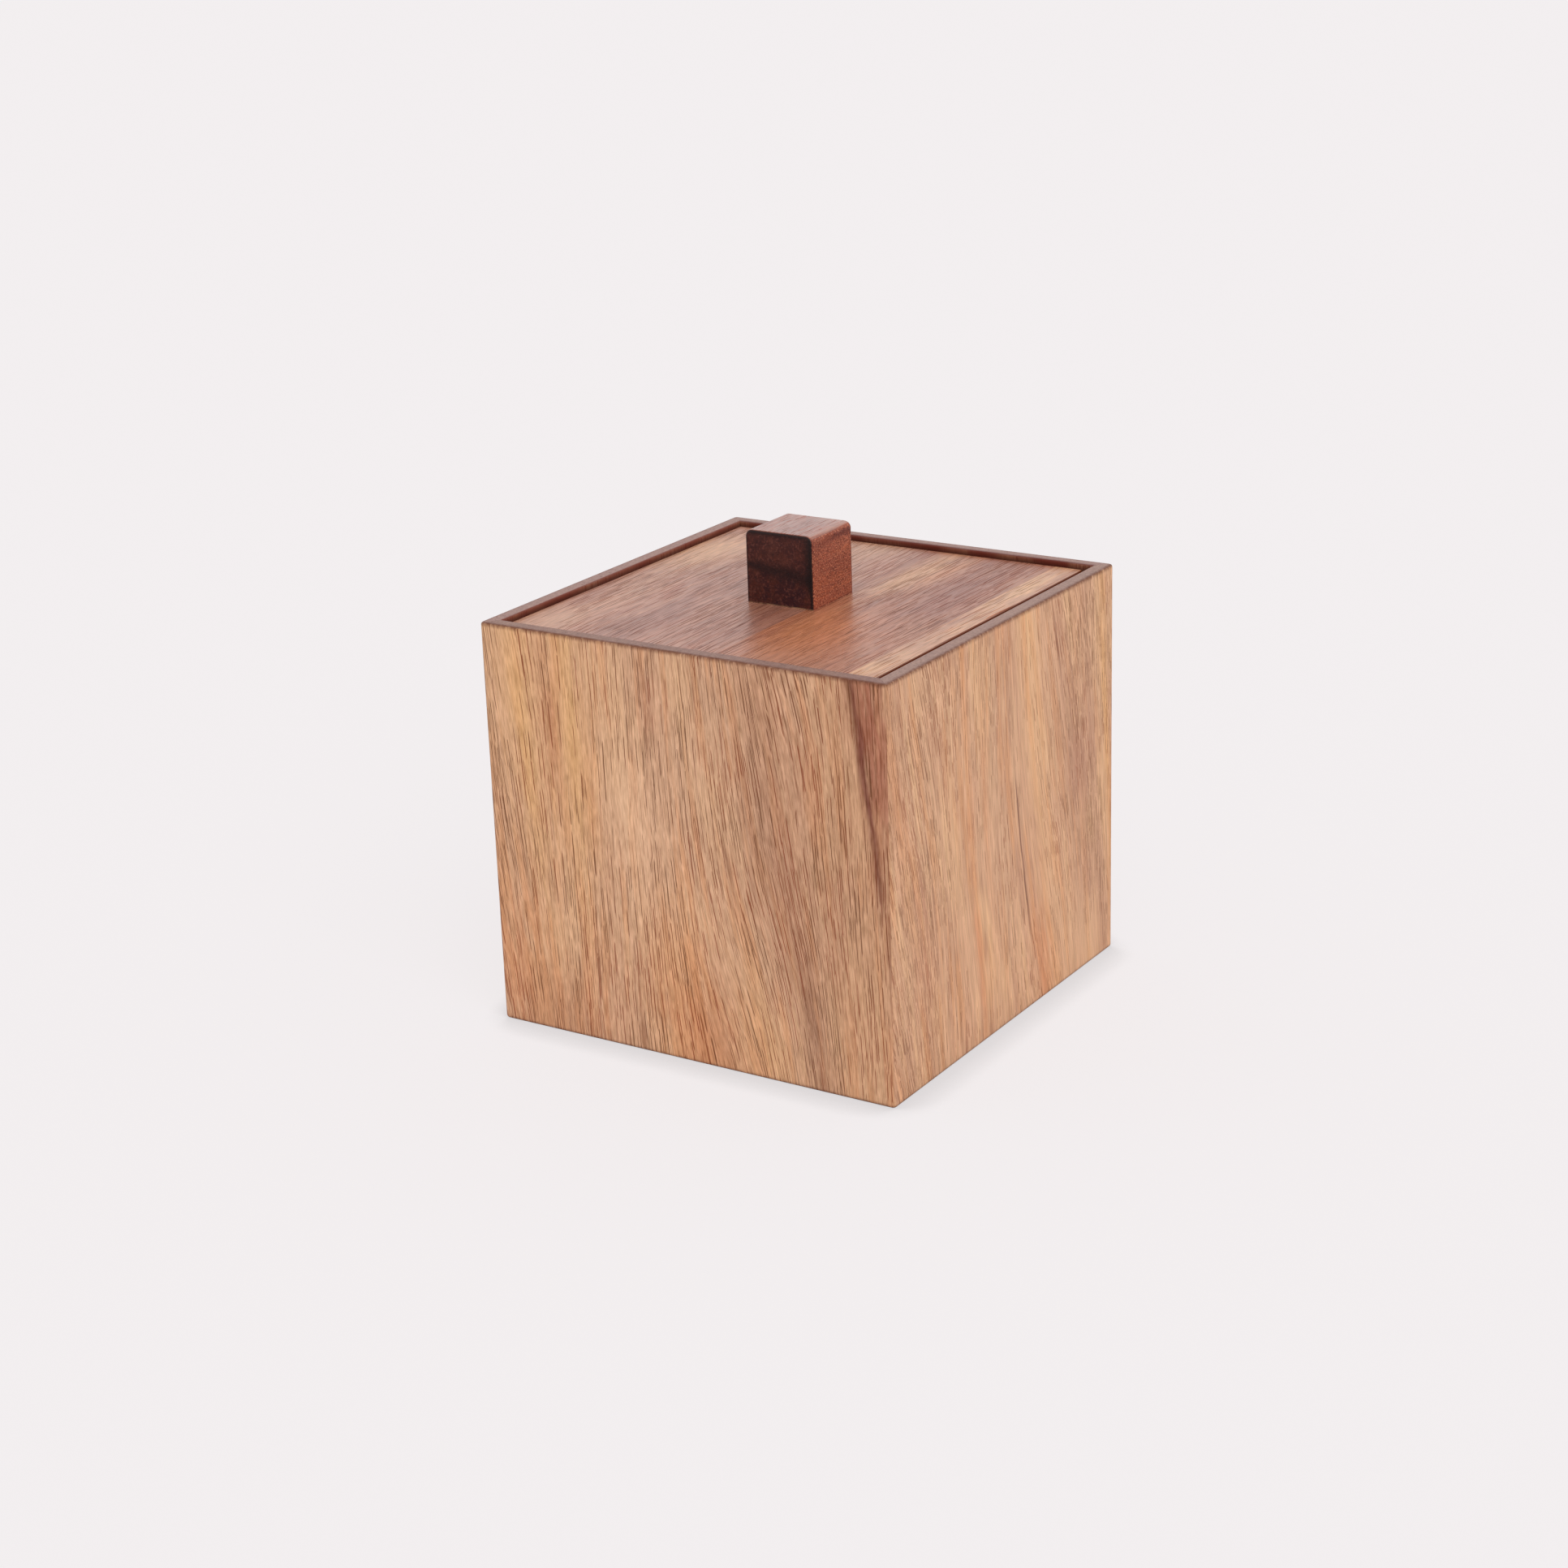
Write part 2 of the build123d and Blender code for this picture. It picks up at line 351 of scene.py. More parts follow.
def make_oiled_surface():
    """Pores, fibres, end grain and handled edges, laid over a board's colour."""
    tree, given, out = start_group(
        "oiled_surface",
        {"Color": WOOD_COLOUR, "Flow": (0, 0, 0), "End": 0.0, "Edge": 0.0, "Pore Spacing": 0.8, "Pore Width": 0.34,
         "Pore Length": 9.0, "Pore Density": 0.6, "Pore Depth": 0.75, "Pore Squash": 0.2, "Pore Color": DARK_COLOUR,
         "End Color": DARK_COLOUR, "Edge Color": (0.2, 0.1, 0.06, 1), "Crowding": 1.0, "Fibre": 0.25,
         "Fibre Length": 3.0, "Veil": 0.1, "End Mottle": 0.6, "Satin": 0.42, "Seed": 0.0},
        {"Color": WOOD_COLOUR, "Roughness": 0.4, "Height": 0.0, "Closed": 1.0})

    def noise(across, along, reseed=0.0, detail=2.0, roughness=0.5):
        """Noise that follows the grain."""
        return cloud(tree, given["Flow"], across, along, given["Seed"], reseed, detail, roughness)

    # Fibres and longer flecks. The veil is painted sheen on the fibres: it lifts or lowers all three channels alike,
    # which greys them a little.
    fibre = noise(FIBRE_WIDTH, given["Fibre Length"], detail=1.0, roughness=0.6)
    fleck = noise(1.1, calc(tree, "MULTIPLY", given["Fibre Length"], 1.8), reseed=2.9)
    shade = calc(tree, "ADD", calc(tree, "MULTIPLY", fibre, 0.8), calc(tree, "MULTIPLY", fleck, 0.2))
    shade = vary(tree, shade, given["Fibre"])
    veil = calc(tree, "MULTIPLY", calc(tree, "SUBTRACT", shade, 1.0), given["Veil"])
    colour = calc_vector(tree, "MULTIPLY_ADD", given["Color"], shade, veil)
    colour = calc_vector(tree, "MAXIMUM", colour, (0, 0, 0))

    # Three layers of pores, denser in some places than in others. They go from rusty to greyish.
    crowd = fade(tree, noise(7.0, 24.0, reseed=8.1), 0.3, 0.66, low=-0.5, high=0.5)
    crowd = calc(tree, "MULTIPLY_ADD", crowd, given["Crowding"], 1.0)
    density = calc(tree, "MULTIPLY", given["Pore Density"], crowd)

    def pore_layer(size, reseed):
        """One layer of pores, this many times the board's own size."""
        return use(tree, "pores", {
            "Flow": given["Flow"], "End": given["End"], "Density": density, "Squash": given["Pore Squash"],
            "Spacing": calc(tree, "MULTIPLY", given["Pore Spacing"], size),
            "Width": calc(tree, "MULTIPLY", given["Pore Width"], size),
            "Length": calc(tree, "MULTIPLY", given["Pore Length"], size),
            "Seed": calc(tree, "ADD", given["Seed"], reseed)})["Pores"]

    fine = overlap(tree, pore_layer(0.55, reseed=4.4), 0.6)
    open_pores = largest(tree, pore_layer(1.0, reseed=0.0), pore_layer(0.85, reseed=9.7), fine)
    rusty = fade(tree, noise(9.0, 26.0, reseed=12.4), 0.4, 0.6)
    tint = paint(tree, rusty, (0.85, 1.0, 1.3, 1), (1.6, 1.0, 0.9, 1))
    pore_colour = calc_vector(tree, "MULTIPLY", given["Pore Color"], tint)
    colour = paint(tree, overlap(tree, open_pores, given["Pore Depth"]), colour, pore_colour)

    mottle = vary(tree, noise(0.5, 0.9, reseed=5.3, detail=3.0, roughness=0.7), given["End Mottle"])
    end = overlap(tree, given["End"], between(tree, fleck, 0.75, 1.05))
    colour = paint(tree, end, colour, calc_vector(tree, "MULTIPLY", given["End Color"], mottle))
    worn = fade(tree, noise(0.9, 3.5, reseed=6.6, detail=3.0), 0.25, 0.6, low=0.35)
    colour = paint(tree, overlap(tree, given["Edge"], worn), colour, given["Edge Color"])
    join(tree, colour, out["Color"])

    # Pores are rougher than the face and end grain a little smoother. Heights are in millimetres. Lacquer lies on
    # the closed wood and hardly fills the pores.
    rough = calc(tree, "MULTIPLY_ADD", open_pores, 0.35, given["Satin"])
    rough = vary(tree, fleck, 0.16, rough)
    join(tree, calc(tree, "MULTIPLY_ADD", given["End"], -0.08, rough), out["Roughness"])
    height = calc(tree, "MULTIPLY_ADD", open_pores, -PORE_DEPTH, calc(tree, "MULTIPLY", fibre, FIBRE_HEIGHT))
    join(tree, height, out["Height"])
    join(tree, between(tree, open_pores, 1.0, 0.15), out["Closed"])


for make in (make_grain_flow, make_grain_slope, make_grain_bend, make_pores, make_wood_tone, make_streak, make_arris,
             make_end_grain, make_oiled_surface):
    make()


# ---------------------------------------------------------------- a board's material
# The columns of the boards' tables, named as the groups' inputs are. Across and along give the middle of a place, and
# width and length how far it reaches, in millimetres on a board's own axes. Lean and slant are millimetres sideways
# for each one upwards. In a table of streaks, each one's colour and strength come first.
SLOPE = ("Across", "Along", "Width", "Lean")
BEND = ("Across", "Along", "Width", "Length", "Push")
STREAK = ("Across", "Along", "Width", "Length", "Fray", "Slant")
CALM = ("Across", "Along", "Width", "Length")
CALM_FRAY = 0.3
CALM_PORES = 0.2  # the share of its pores that the middle of a calm place keeps

WOOD_IOR = 1.5
LACQUER_ROUGHNESS = 0.32
RELIEF = 0.5  # the bump's strength


def turned_board(tree, turn, shift):
    """The object's own axes in millimetres, turned so that the grain runs along Z, then unturned, and the normal."""
    where = add_node(tree, "TexCoord")
    board = add_node(tree, "Mapping", {"Vector": where.outputs["Object"], "Location": shift, "Rotation": turn,
                                       "Scale": (MM, MM, MM)})
    whole = add_node(tree, "Mapping", {"Vector": where.outputs["Object"], "Scale": (MM, MM, MM)})
    return board.outputs[0], whole.outputs[0], where.outputs["Normal"]


def acacia(name, turn, shift, tone, surface, seed, lean=0.0, wander=3.0, ripple=0.5, slopes=(), bends=(), streaks=(),
           calm=(), edges=None, wear=0.9, stains=(), squash=0.2, gloss=0.5, coat=0.0, coated=None):
    """One board's material: its colour and figure, then its pores and edges, then the marks and painted light laid
    over it, and its finish.
    """
    material, tree, shader = start_material(name)
    board, whole, normal = turned_board(tree, turn, shift)

    flow = use(tree, "grain_flow", {"Place": board, "Lean": lean, "Wander": wander, "Ripple": ripple,
                                    "Seed": seed})["Flow"]
    for slope in slopes:
        flow = use(tree, "grain_slope", {"Flow": flow, "Place": board, **dict(zip(SLOPE, slope))})["Flow"]
    for bend in bends:
        flow = use(tree, "grain_bend", {"Flow": flow, "Place": board, **dict(zip(BEND, bend))})["Flow"]

    colour = use(tree, "wood_tone", {"Flow": flow, "Seed": seed, **tone})["Color"]
    for streak_colour, strength, *place in streaks:
        mask = use(tree, "streak", {"Flow": flow, **dict(zip(STREAK, place))})["Mask"]
        colour = paint(tree, overlap(tree, mask, strength), colour, streak_colour)

    density = surface["Pore Density"]
    for place in calm:
        mask = use(tree, "streak", {"Flow": board, "Fray": CALM_FRAY, **dict(zip(CALM, place))})["Mask"]
        density = overlap(tree, density, between(tree, mask, 1.0, CALM_PORES))

    # The grain and the thickness of this board, as directions on the object's own axes.
    own_axes = Euler(turn).to_matrix().transposed()
    grain, thickness = own_axes @ Vector((0, 0, 1)), own_axes @ Vector((0, 1, 0))
    end = use(tree, "end_grain", {"Normal": normal, "Grain": grain})["End"]
    face_squash = fade(tree, alignment(tree, normal, thickness), 0.5, 0.75, low=1.0, high=squash)
    edge = 0.0
    if edges:
        edge = overlap(tree, use(tree, "arris", {"Place": whole, **edges})["Edge"], wear)
    finished = use(tree, "oiled_surface", {
        "Color": colour, "Flow": flow, "End": end, "Edge": edge, "Seed": seed, **surface, "Pore Density": density,
        "Pore Squash": face_squash})

    colour = finished["Color"]
    for layer_colour, mask in stains:
        colour = paint(tree, mask(tree, whole), colour, layer_colour)
    join(tree, colour, shader.inputs["Base Color"])
    join(tree, finished["Roughness"], shader.inputs["Roughness"])
    relief = add_node(tree, "Bump", {"Strength": RELIEF, "Distance": 1 / MM, "Height": finished["Height"]})
    join(tree, relief.outputs[0], shader.inputs["Normal"])
    shader.inputs["IOR"].default_value = WOOD_IOR
    shader.inputs["Specular IOR Level"].default_value = gloss
    if coat:
        lacquer = overlap(tree, finished["Closed"], coat)
        if coated:
            lacquer = overlap(tree, lacquer, coated(tree, whole))
        join(tree, lacquer, shader.inputs["Coat Weight"])
        shader.inputs["Coat Roughness"].default_value = LACQUER_ROUGHNESS
    return material


# ---------------------------------------------------------------- walls
def recess_face(tree, whole, onto_rim=0.5):
    """The face of the recess round the lid."""
    x, y, z = split_vector(tree, calc_vector(tree, "ABSOLUTE", whole))
    inside = fade(tree, calc(tree, "MAXIMUM", x, y), RECESS_HALF + onto_rim, RECESS_HALF + 0.1)
    return overlap(tree, inside, fade(tree, z, LID_TOP - 5.0, LID_TOP - 3.0))


def recess_darkening(tree, whole, onto_rim=0.5):
    """How strongly the recess face is darkened, in blotches."""
    blotch = cloud(tree, whole, across=9.0, along=9.0, seed=2.2)
    return overlap(tree, recess_face(tree, whole, onto_rim), fade(tree, blotch, 0.3, 0.65, low=0.8))


def back_recess_darkening(tree, whole):
    """At the back the darkening goes on over the rim's inner edge."""
    return recess_darkening(tree, whole, onto_rim=1.5)


def recess_painted_shade(tree, whole):
    """Painted shade on the low part of the recess face, down where the lid lies."""
    z = split_vector(tree, whole)["Z"]
    return overlap(tree, recess_face(tree, whole), fade(tree, z, LID_TOP + 0.75, LID_TOP, high=0.5))


# The rims' end grain keeps its own tone, greyed and lightened wall by wall by a painted sheen.
FRONT_RIM, RIGHT_RIM, OTHER_RIMS = rgb(136, 103, 95), rgb(152, 121, 112), rgb(152, 119, 113)
# Painted shade darkens the low part of each recess face, down where the lid lies.
RECESS_PAINTED_SHADE = (rgb(62, 24, 14), recess_painted_shade)
WALL_RECESS_DARKENING = [(rgb(120, 58, 44), recess_darkening), RECESS_PAINTED_SHADE]
BACK_RECESS_DARKENING = [(rgb(98, 38, 25), back_recess_darkening), RECESS_PAINTED_SHADE]
WALL_EDGES = {"Middle": (0, 0, BOX_HEIGHT / 2), "Half": (BOX_HALF, BOX_HALF, BOX_HEIGHT / 2), "Reach": 1.2,
              "Upright": 0.25}
WALL_SURFACE = {"End Color": OTHER_RIMS, "Edge Color": rgb(104, 58, 38), "Pore Color": rgb(100, 48, 18),
                "Pore Spacing": 1.05, "Pore Width": 0.21, "Pore Length": 12.0, "Pore Depth": 0.92, "Fibre": 1.1,
                "End Mottle": 1.5, "Satin": 0.5}


def wall_wood(name, turn, tone, surface, seed, stains=WALL_RECESS_DARKENING, **figure):
    """A wall's material, for the wall that is this turn from the front."""
    return acacia(name, (0, 0, turn), (0, BOX_HALF, 0), tone, {**WALL_SURFACE, **surface}, seed, stains=stains,
                  edges=WALL_EDGES, gloss=0.2, **figure)


front_wall_wood = wall_wood(
    "front_wall_wood", 0,
    {"Pale": rgb(220, 176, 134), "Middle": rgb(204, 160, 128), "Deep": rgb(184, 134, 102), "Warm": rgb(206, 144, 100),
     "Line": rgb(120, 68, 40), "Zone": 16.0, "Zones": 0.42, "Band": 1.5, "Bands": 0.6, "Warm Bands": 0.45,
     "Lines": 0.55},
    {"Pore Density": 0.7, "Pore Depth": 0.82, "Crowding": 0.8, "Fibre": 0.95, "End Color": FRONT_RIM},
    seed=1.7, lean=0.03, wander=2.0, ripple=0.4,
    slopes=[(18, 45, 17, 0.17), (-45, 45, 11, 0.08)], bends=[(18, 45, 18, 25, 2.0)],
    streaks=[
        (rgb(224, 172, 118), 0.35, -30.9, 74, 15.0, 44, 0.3),
        (rgb(226, 184, 150), 0.5, -10.2, 54, 8.0, 22, 0.4),
        (rgb(220, 170, 114), 0.55, -36.5, 68, 2.4, 34, 0.25),
        (rgb(220, 170, 114), 0.55, -25.3, 68, 2.2, 30, 0.25),
        (rgb(176, 112, 78), 0.5, -30.2, 72, 1.6, 16, 0.4),
        (rgb(212, 150, 98), 0.45, -21.8, 56, 1.6, 14, 0.4),
        (rgb(176, 122, 96), 0.35, -5.1, 78, 3.6, 12, 0.5),
        (rgb(154, 110, 88), 0.38, 26.1, 56, 9.0, 24, 0.5),
        (rgb(168, 114, 82), 0.35, 44.6, 45, 17.0, 60, 0.4),
        (rgb(214, 144, 92), 0.5, -2.3, 10, 8.0, 24, 0.5),
        (rgb(206, 136, 88), 0.45, -45.4, 10, 9.0, 20, 0.5),
        (rgb(216, 166, 114), 0.35, 14.3, 8, 5.0, 14, 0.4),
        (rgb(182, 122, 84), 0.4, -33.8, 4, 14.0, 11, 0.4),
        (rgb(178, 118, 86), 0.45, 1.5, 5, 5.0, 13, 0.4),
        (rgb(150, 84, 62), 0.82, 49.2, 84, 4.0, 34, 0.5, 0.1),
        (rgb(104, 46, 34), 0.85, 47.4, 70, 1.1, 30, 0.6, 0.1),
        (rgb(122, 78, 58), 0.45, 28.4, 16, 3.0, 20, 0.6, 0.06),
    ],
    calm=[(-16, 56, 5, 10), (-29, 68, 3, 16), (-44, 74, 3, 12)])

right_wall_wood = wall_wood(
    "right_wall_wood", -QUARTER,
    {"Pale": rgb(228, 182, 136), "Middle": rgb(208, 162, 128), "Deep": rgb(184, 134, 106), "Warm": rgb(212, 152, 106),
     "Line": rgb(136, 84, 58), "Zone": 12.0, "Zones": 0.45, "Band": 1.7, "Bands": 0.75, "Warm Bands": 0.55,
     "Lines": 0.4},
    {"Pore Density": 0.8, "Pore Spacing": 0.8, "Pore Width": 0.18, "Pore Length": 5.5, "Pore Depth": 0.56,
     "Fibre": 0.8, "Fibre Length": 8.0, "End Color": RIGHT_RIM},
    seed=4.3, lean=0.05, wander=2.5, ripple=0.25,
    slopes=[(20, 45, 18, 0.17), (-42, 45, 14, 0.15)], bends=[(-14, 0, 12, 35, -4)],
    streaks=[
        (rgb(230, 182, 134), 0.5, 17.5, 62, 4.5, 50, 0.3),
        (rgb(214, 148, 98), 0.5, 16.4, 76, 1.2, 26, 0.4),
        (rgb(178, 130, 106), 0.75, 36.3, 52, 9.0, 20, 0.3),
        (rgb(206, 134, 88), 0.6, 10.8, 8, 3.2, 14, 0.5),
        (rgb(222, 166, 108), 0.6, 49.7, 58, 1.4, 44, 0.3),
        (rgb(96, 48, 34), 0.8, 7.1, 40, 0.32, 24, 0.7),
        (rgb(96, 48, 34), 0.6, 32.6, 79, 0.3, 9, 0.7),
        (rgb(208, 142, 96), 0.55, -14.6, 60, 1.3, 48, 0.4),
        (rgb(212, 150, 108), 0.5, -7.9, 56, 1.1, 30, 0.4),
        (rgb(200, 128, 84), 0.5, -15.1, 20, 1.4, 20, 0.5),
        (rgb(186, 130, 104), 0.55, -37.9, 28, 4.5, 16, 0.5),
        (rgb(214, 152, 108), 0.5, -40.9, 66, 2.6, 26, 0.4),
        (rgb(200, 158, 126), 0.4, -1.6, 50, 3.0, 40, 0.4),
        (rgb(216, 172, 134), 0.45, 32.3, 8, 11.0, 16, 0.4),
        (rgb(224, 178, 136), 0.5, -22.0, 47, 4.5, 17, 0.4),
        (rgb(178, 130, 106), 0.5, 38.2, 23, 7.0, 9, 0.4),
    ],
    calm=[(8, 50, 13, 60), (-14, 30, 9, 40), (34, 4, 16, 20)])

back_wall_wood = wall_wood(
    "back_wall_wood", 2 * QUARTER,
    {"Pale": rgb(218, 172, 128), "Middle": rgb(203, 157, 123), "Deep": rgb(178, 128, 98), "Warm": rgb(204, 142, 98),
     "Line": rgb(116, 66, 44), "Zone": 16.0, "Zones": 0.45, "Band": 1.8, "Bands": 0.65, "Warm Bands": 0.5,
     "Lines": 0.5},
    {"Pore Density": 0.64, "Pore Depth": 0.8, "Crowding": 0.9, "Fibre": 0.95},
    seed=9.1, stains=BACK_RECESS_DARKENING, lean=-0.03, wander=2.5, ripple=0.4,
    slopes=[(-16, 45, 16, -0.11), (30, 45, 14, 0.09)], bends=[(-8, 30, 14, 20, 3)],
    streaks=[
        (rgb(222, 174, 120), 0.5, -31, 50, 5.0, 60, 0.3),
        (rgb(178, 122, 92), 0.4, 22, 44, 9.0, 48, 0.4),
        (rgb(212, 148, 100), 0.45, 41, 18, 7.0, 28, 0.5),
        (rgb(226, 184, 148), 0.45, 3, 70, 6.0, 24, 0.4),
        (rgb(122, 74, 54), 0.6, -19, 62, 1.1, 26, 0.6),
        (rgb(104, 56, 40), 0.6, 33, 60, 0.5, 26, 0.7),
    ],
    calm=[(-32, 60, 5, 26), (4, 66, 5, 16)])

left_wall_wood = wall_wood(
    "left_wall_wood", QUARTER,
    {"Pale": rgb(220, 174, 130), "Middle": rgb(206, 160, 126), "Deep": rgb(182, 132, 102), "Warm": rgb(208, 148, 102),
     "Line": rgb(120, 70, 46), "Zone": 15.0, "Zones": 0.45, "Band": 2.0, "Bands": 0.7, "Warm Bands": 0.5,
     "Lines": 0.45},
    {"Pore Density": 0.64, "Pore Spacing": 0.95, "Pore Depth": 0.74, "Pore Length": 9.0, "Fibre": 0.9,
     "Fibre Length": 5.0},
    seed=14.6, lean=0.05, wander=2.5, ripple=0.35, slopes=[(18, 45, 18, -0.12)], bends=[(-20, 60, 14, 30, 3)],
    streaks=[
        (rgb(226, 178, 126), 0.45, 26, 50, 5.0, 60, 0.3),
        (rgb(150, 90, 66), 0.6, -45, 62, 2.6, 40, 0.5),
        (rgb(210, 146, 98), 0.5, -12, 22, 5.0, 32, 0.5),
        (rgb(228, 188, 150), 0.4, -28, 56, 6.0, 22, 0.4),
        (rgb(178, 128, 104), 0.55, 9, 62, 8.0, 20, 0.4),
        (rgb(102, 56, 40), 0.6, 18, 34, 0.4, 22, 0.7),
    ],
    calm=[(27, 52, 6, 34), (-28, 56, 5, 14)])


# ---------------------------------------------------------------- lid
LID_EDGES = {"Middle": (LID_MIDDLE, 0, LID_TOP - LID_THICKNESS / 2),
             "Half": ((LID_RIGHT - LID_LEFT) / 2, LID_HALF_DEPTH, LID_THICKNESS / 2), "Reach": 0.6}
LID_SURFACE = {"End Color": rgb(96, 52, 38), "Edge Color": rgb(66, 28, 16), "Pore Color": rgb(84, 34, 16),
               "Pore Spacing": 0.8, "Pore Width": 0.19, "Pore Length": 14.0, "Pore Depth": 0.62, "Crowding": 0.6,
               "Fibre": 1.0, "Fibre Length": 4.0, "End Mottle": 1.4, "Satin": 0.44}


def lid_wood(name, tone, surface, seed, edges=LID_EDGES, coat=0.75, **figure):
    """The material of a stave of the lid or of the knob on it. Their grain runs from front to back."""
    return acacia(name, (QUARTER, 0, 0), (0, LID_TOP, 0), tone, {**LID_SURFACE, **surface}, seed, edges=edges,
                  coat=coat, gloss=0.25, ripple=0.4, **figure)


def lid_face(tree, whole):
    """The lid's top face. The lacquer stops at its edges."""
    return fade(tree, split_vector(tree, whole)["Z"], LID_TOP - 0.4, LID_TOP - 0.1)


def lid_side_painted_shade(tree, whole):
    """Painted shade on the upper part of the lid's right-hand side, down in the gap by the rim."""
    x, _, z = split_vector(tree, whole)
    fray = cloud(tree, whole, across=2.5, along=0.6, seed=8.4)
    height = calc(tree, "MULTIPLY_ADD", fray, 1.2, z)
    return overlap(tree, fade(tree, x, LID_RIGHT - 0.3, LID_RIGHT - 0.1),
                   fade(tree, height, LID_TOP - 1.0, LID_TOP - 0.2, low=0.25))


lid_wide_stave_wood = lid_wood(
    "lid_wide_stave_wood",
    {"Pale": rgb(194, 142, 112), "Middle": rgb(176, 120, 98), "Deep": rgb(144, 92, 76), "Warm": rgb(182, 118, 88),
     "Line": rgb(84, 44, 28), "Zone": 16.0, "Zones": 0.6, "Band": 1.5, "Bands": 0.7, "Warm Bands": 0.4,
     "Lines": 0.5},
    {"Pore Density": 0.8}, seed=21.0, lean=0.02, wander=1.6,
    streaks=[
        (rgb(206, 152, 108), 0.85, -40.0, 24, 9.0, 14, 0.3),
        (rgb(200, 146, 110), 0.6, -40.0, -40, 9.0, 12, 0.3),
        (rgb(194, 146, 112), 0.5, -6.0, 44, 10.0, 12, 0.3),
    ],
    calm=[(-38, 26, 9, 13), (-25, -22, 5, 9), (-40, -38, 7, 9)])

lid_middle_stave_wood = lid_wood(
    "lid_middle_stave_wood",
    {"Pale": rgb(184, 122, 88), "Middle": rgb(160, 100, 76), "Deep": rgb(130, 76, 60), "Warm": rgb(180, 108, 72),
     "Line": rgb(84, 42, 28), "Zone": 12.0, "Zones": 0.6, "Band": 1.5, "Bands": 0.7, "Warm Bands": 0.4,
     "Lines": 0.45},
    {"Pore Density": 0.75}, seed=27.5, wander=1.6,
    streaks=[
        (rgb(200, 124, 82), 0.85, 16.0, -24, 13.0, 24, 0.25),
        (rgb(212, 158, 116), 0.85, 13.0, 26, 4.0, 22, 0.4),
        (rgb(206, 138, 94), 0.7, 18.5, 30, 2.0, 16, 0.4),
        (rgb(118, 64, 54), 0.55, 16.5, 0, 1.3, 12, 0.6),
        (rgb(140, 84, 70), 0.5, 28.0, 14, 8.0, 34, 0.3),
    ])

lid_narrow_stave_wood = lid_wood(
    "lid_narrow_stave_wood",
    {"Pale": rgb(222, 172, 124), "Middle": rgb(202, 148, 114), "Deep": rgb(172, 118, 92), "Warm": rgb(206, 142, 98),
     "Line": rgb(132, 78, 50), "Zone": 7.0, "Zones": 0.6, "Band": 1.2, "Bands": 0.7, "Warm Bands": 0.4,
     "Lines": 0.4},
    {"Pore Density": 0.55, "Pore Depth": 0.6, "Pore Color": rgb(120, 66, 40)}, seed=33.3, lean=-0.02, wander=1.0,
    # The narrow stave gets painted shade along its right-hand side, in the gap by the rim.
    edges={**LID_EDGES, "Reach": 0.3}, wear=0.6, stains=[(rgb(120, 54, 18), lid_side_painted_shade)], coated=lid_face)


# ---------------------------------------------------------------- knob
def knob_top(tree, whole):
    """The knob's top, worn smooth by fingers, and part of the way round its soft edges."""
    _, y, z = split_vector(tree, whole)
    return overlap(tree, fade(tree, z, KNOB_TOP - 1.0, KNOB_TOP - 0.1),
                   fade(tree, y, 0.1 - KNOB_HALF, 0.5 - KNOB_HALF))


def knob_front(tree, whole):
    """The knob's front face, which is end grain."""
    return fade(tree, split_vector(tree, whole)["Y"], 0.3 - KNOB_HALF, 0.05 - KNOB_HALF)


def knob_side(tree, whole, reach=0.5):
    """The knob's right face."""
    return fade(tree, split_vector(tree, whole)["X"], KNOB_RIGHT - reach, KNOB_RIGHT - 0.1)


def knob_across(tree, whole):
    """How far one is to the right of the knob's middle."""
    return calc(tree, "SUBTRACT", split_vector(tree, whole)["X"], KNOB_CENTRE)


def knob_up(tree, whole):
    """How far one is above the knob's middle."""
    return calc(tree, "SUBTRACT", split_vector(tree, whole)["Z"], KNOB_MIDDLE)


def knob_dark_band(tree, whole):
    """A darker growth band that falls to the right across the end grain, and widens there."""
    across = knob_across(tree, whole)
    wave = cloud(tree, whole, across=5.0, along=5.0, seed=1.4, detail=1.0)
    off = calc(tree, "MULTIPLY_ADD", across, 0.12, knob_up(tree, whole))
    off = calc(tree, "ADD", off, between(tree, wave, -0.6, 1.8))
    width = fade(tree, across, -KNOB_HALF, KNOB_HALF, low=1.1, high=2.2)
    return overlap(tree, knob_front(tree, whole), bell(tree, calc(tree, "DIVIDE", off, width)), 0.75)


def knob_dark_sides(tree, whole):
    """The end grain is darkest along its top and its sides, most of all on the right."""
    across, up = knob_across(tree, whole), knob_up(tree, whole)
    reach = fade(tree, up, -6.0, -1.0, low=1.0, high=3.0)
    right = fade(tree, across, calc(tree, "SUBTRACT", KNOB_HALF, reach), KNOB_HALF - 0.4, high=0.9)
    left = fade(tree, across, 0.8 - KNOB_HALF, 0.1 - KNOB_HALF, high=0.7)
    top = fade(tree, up, KNOB_HALF - 1.8, KNOB_HALF - 0.6, high=0.8)
    return overlap(tree, knob_front(tree, whole), largest(tree, right, left, top))


def knob_back_edge_and_painted_shade(tree, whole):
    """The right face darkens at its back edge, and painted shade lies below its soft top edge."""
    _, y, z = split_vector(tree, whole)
    back = fade(tree, y, KNOB_HALF - 1.1, KNOB_HALF - 0.5, high=0.75)
    fray = cloud(tree, whole, across=0.8, along=2.0, seed=3.3)
    height = calc(tree, "ADD", z, between(tree, fray, -0.8, 0.8))
    starts = fade(tree, height, KNOB_TOP - 3.2, KNOB_TOP - 1.9)
    ends = fade(tree, height, KNOB_TOP - 0.9, KNOB_TOP - 1.7)
    # The band under the soft top edge is painted shade.
    under = overlap(tree, starts, ends, fade(tree, y, -5.0, 3.0, low=0.2, high=0.7))
    return overlap(tree, knob_side(tree, whole, reach=0.4), largest(tree, back, under))


